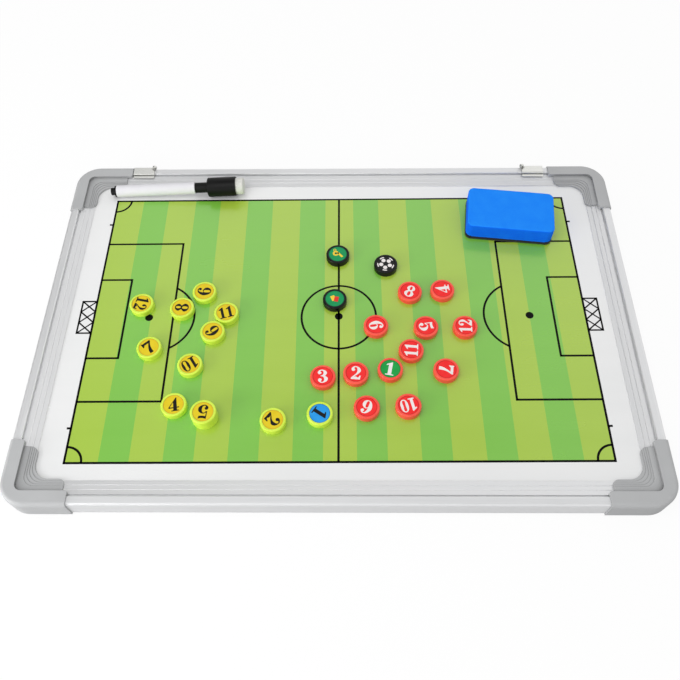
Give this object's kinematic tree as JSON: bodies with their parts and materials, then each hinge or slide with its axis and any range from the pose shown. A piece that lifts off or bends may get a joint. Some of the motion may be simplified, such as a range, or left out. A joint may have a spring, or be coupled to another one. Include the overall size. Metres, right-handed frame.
{
  "type": "magnetic tactics board",
  "caption": "Framed magnetic board printed with a football pitch, with numbered round counters, a capped marker pen, a foam eraser and sliding hanging clips.",
  "frame": {"origin": "middle of the board's underside, on the surface that the corners rest on", "axes": "+X along the long side to the right, +Y to the top edge with the hanging clips, +Z out of the printed face"},
  "size_m": [0.452, 0.302, 0.029],
  "materials": {
    "printed_steel": "white enamel with a printed pitch, semi-gloss",
    "grey_steel": "plain coated steel, satin",
    "fibreboard": "raw fibreboard, hidden between the sheets",
    "rail_aluminium": "extruded, satin anodised",
    "grey_plastic": "moulded, matte",
    "plated_screw": "zinc plated",
    "bright_clip": "bright spring plate",
    "yellow_plastic": "moulded lime yellow, semi-gloss",
    "red_plastic": "moulded red, semi-gloss",
    "black_plastic": "moulded black, satin",
    "white_plastic": "moulded white, glossy",
    "ferrite": "sintered ferrite, matte",
    "fibre": "bonded fibre soaked with ink",
    "white_felt": "pressed felt",
    "black_felt": "pressed felt",
    "blue_foam": "closed-cell foam, matte"
  },
  "bodies": {
    "board": {"face_sheet": "printed_steel", "core_panel": "fibreboard", "back_sheet": "grey_steel", "rail_front": "rail_aluminium", "rail_back": "rail_aluminium", "rail_left": "rail_aluminium", "rail_right": "rail_aluminium", "corner_front_left": "grey_plastic", "corner_front_right": "grey_plastic", "corner_back_right": "grey_plastic", "corner_back_left": "grey_plastic", "corner_screws": "plated_screw"},
    "clip_left": {"hanging_clip_left": "bright_clip"},
    "clip_right": {"hanging_clip_right": "bright_clip"},
    "pen": {"pen_tail_plug": "black_plastic", "pen_barrel": "white_plastic", "pen_ink_core": "fibre", "pen_nib_holder": "white_plastic", "pen_nib": "fibre"},
    "cap": {"pen_cap": "black_plastic", "pen_cap_magnet": "ferrite", "pen_cap_felt": "white_felt"},
    "eraser": {"eraser_felt": "black_felt", "eraser_foam": "blue_foam", "eraser_magnet": "ferrite"},
    "yellow_1": {"yellow_counter_1": "yellow_plastic"},
    "yellow_2": {"yellow_counter_2": "yellow_plastic"},
    "yellow_3": {"yellow_counter_3": "yellow_plastic"},
    "yellow_4": {"yellow_counter_4": "yellow_plastic"},
    "yellow_5": {"yellow_counter_5": "yellow_plastic"},
    "yellow_6": {"yellow_counter_6": "yellow_plastic"},
    "yellow_7": {"yellow_counter_7": "yellow_plastic"},
    "yellow_8": {"yellow_counter_8": "yellow_plastic"},
    "yellow_9": {"yellow_counter_9": "yellow_plastic"},
    "yellow_10": {"yellow_counter_10": "yellow_plastic"},
    "yellow_11": {"yellow_counter_11": "yellow_plastic"},
    "yellow_12": {"yellow_counter_12": "yellow_plastic"},
    "red_1": {"red_counter_1": "red_plastic"},
    "red_2": {"red_counter_2": "red_plastic"},
    "red_3": {"red_counter_3": "red_plastic"},
    "red_4": {"red_counter_4": "red_plastic"},
    "red_5": {"red_counter_5": "red_plastic"},
    "red_6": {"red_counter_6": "red_plastic"},
    "red_7": {"red_counter_7": "red_plastic"},
    "red_8": {"red_counter_8": "red_plastic"},
    "red_9": {"red_counter_9": "red_plastic"},
    "red_10": {"red_counter_10": "red_plastic"},
    "red_11": {"red_counter_11": "red_plastic"},
    "red_12": {"red_counter_12": "red_plastic"},
    "official_1": {"official_counter_1": "black_plastic"},
    "official_2": {"official_counter_2": "black_plastic"},
    "ball": {"ball_counter": "black_plastic"}
  },
  "joints": [
    {"name": "clip_left_slide", "type": "slide", "parent": "board", "child": "clip_left", "axis": [1, 0, 0], "range_m": [0, 0.155]},
    {"name": "clip_right_slide", "type": "slide", "parent": "board", "child": "clip_right", "axis": [-1, 0, 0], "range_m": [0, 0.155]},
    {"name": "pen_lift", "type": "slide", "parent": "board", "child": "pen", "axis": [0, 0, 1], "range_m": [0, 0.06]},
    {"name": "cap_pull", "type": "slide", "parent": "pen", "child": "cap", "axis": [0.9991, 0.0174, 0.0383], "range_m": [0, 0.03]},
    {"name": "eraser_lift", "type": "slide", "parent": "board", "child": "eraser", "axis": [0, 0, 1], "range_m": [0, 0.06]},
    {"name": "yellow_1_lift", "type": "slide", "parent": "board", "child": "yellow_1", "axis": [0, 0, 1], "range_m": [0, 0.04]},
    {"name": "yellow_2_lift", "type": "slide", "parent": "board", "child": "yellow_2", "axis": [0, 0, 1], "range_m": [0, 0.04]},
    {"name": "yellow_3_lift", "type": "slide", "parent": "board", "child": "yellow_3", "axis": [0, 0, 1], "range_m": [0, 0.04]},
    {"name": "yellow_4_lift", "type": "slide", "parent": "board", "child": "yellow_4", "axis": [0, 0, 1], "range_m": [0, 0.04]},
    {"name": "yellow_5_lift", "type": "slide", "parent": "yellow_3", "child": "yellow_5", "axis": [0, 0, 1], "range_m": [0, 0.04]},
    {"name": "yellow_6_lift", "type": "slide", "parent": "board", "child": "yellow_6", "axis": [0, 0, 1], "range_m": [0, 0.04]},
    {"name": "yellow_7_lift", "type": "slide", "parent": "board", "child": "yellow_7", "axis": [0, 0, 1], "range_m": [0, 0.04]},
    {"name": "yellow_8_lift", "type": "slide", "parent": "board", "child": "yellow_8", "axis": [0, 0, 1], "range_m": [0, 0.04]},
    {"name": "yellow_9_lift", "type": "slide", "parent": "board", "child": "yellow_9", "axis": [0, 0, 1], "range_m": [0, 0.04]},
    {"name": "yellow_10_lift", "type": "slide", "parent": "board", "child": "yellow_10", "axis": [0, 0, 1], "range_m": [0, 0.04]},
    {"name": "yellow_11_lift", "type": "slide", "parent": "board", "child": "yellow_11", "axis": [0, 0, 1], "range_m": [0, 0.04]},
    {"name": "yellow_12_lift", "type": "slide", "parent": "board", "child": "yellow_12", "axis": [0, 0, 1], "range_m": [0, 0.04]},
    {"name": "red_1_lift", "type": "slide", "parent": "board", "child": "red_1", "axis": [0, 0, 1], "range_m": [0, 0.04]},
    {"name": "red_2_lift", "type": "slide", "parent": "board", "child": "red_2", "axis": [0, 0, 1], "range_m": [0, 0.04]},
    {"name": "red_3_lift", "type": "slide", "parent": "board", "child": "red_3", "axis": [0, 0, 1], "range_m": [0, 0.04]},
    {"name": "red_4_lift", "type": "slide", "parent": "board", "child": "red_4", "axis": [0, 0, 1], "range_m": [0, 0.04]},
    {"name": "red_5_lift", "type": "slide", "parent": "board", "child": "red_5", "axis": [0, 0, 1], "range_m": [0, 0.04]},
    {"name": "red_6_lift", "type": "slide", "parent": "board", "child": "red_6", "axis": [0, 0, 1], "range_m": [0, 0.04]},
    {"name": "red_7_lift", "type": "slide", "parent": "board", "child": "red_7", "axis": [0, 0, 1], "range_m": [0, 0.04]},
    {"name": "red_8_lift", "type": "slide", "parent": "board", "child": "red_8", "axis": [0, 0, 1], "range_m": [0, 0.04]},
    {"name": "red_9_lift", "type": "slide", "parent": "board", "child": "red_9", "axis": [0, 0, 1], "range_m": [0, 0.04]},
    {"name": "red_10_lift", "type": "slide", "parent": "board", "child": "red_10", "axis": [0, 0, 1], "range_m": [0, 0.04]},
    {"name": "red_11_lift", "type": "slide", "parent": "board", "child": "red_11", "axis": [0, 0, 1], "range_m": [0, 0.04]},
    {"name": "red_12_lift", "type": "slide", "parent": "board", "child": "red_12", "axis": [0, 0, 1], "range_m": [0, 0.04]},
    {"name": "official_1_lift", "type": "slide", "parent": "board", "child": "official_1", "axis": [0, 0, 1], "range_m": [0, 0.04]},
    {"name": "official_2_lift", "type": "slide", "parent": "board", "child": "official_2", "axis": [0, 0, 1], "range_m": [0, 0.04]},
    {"name": "ball_lift", "type": "slide", "parent": "board", "child": "ball", "axis": [0, 0, 1], "range_m": [0, 0.04]}
  ]
}
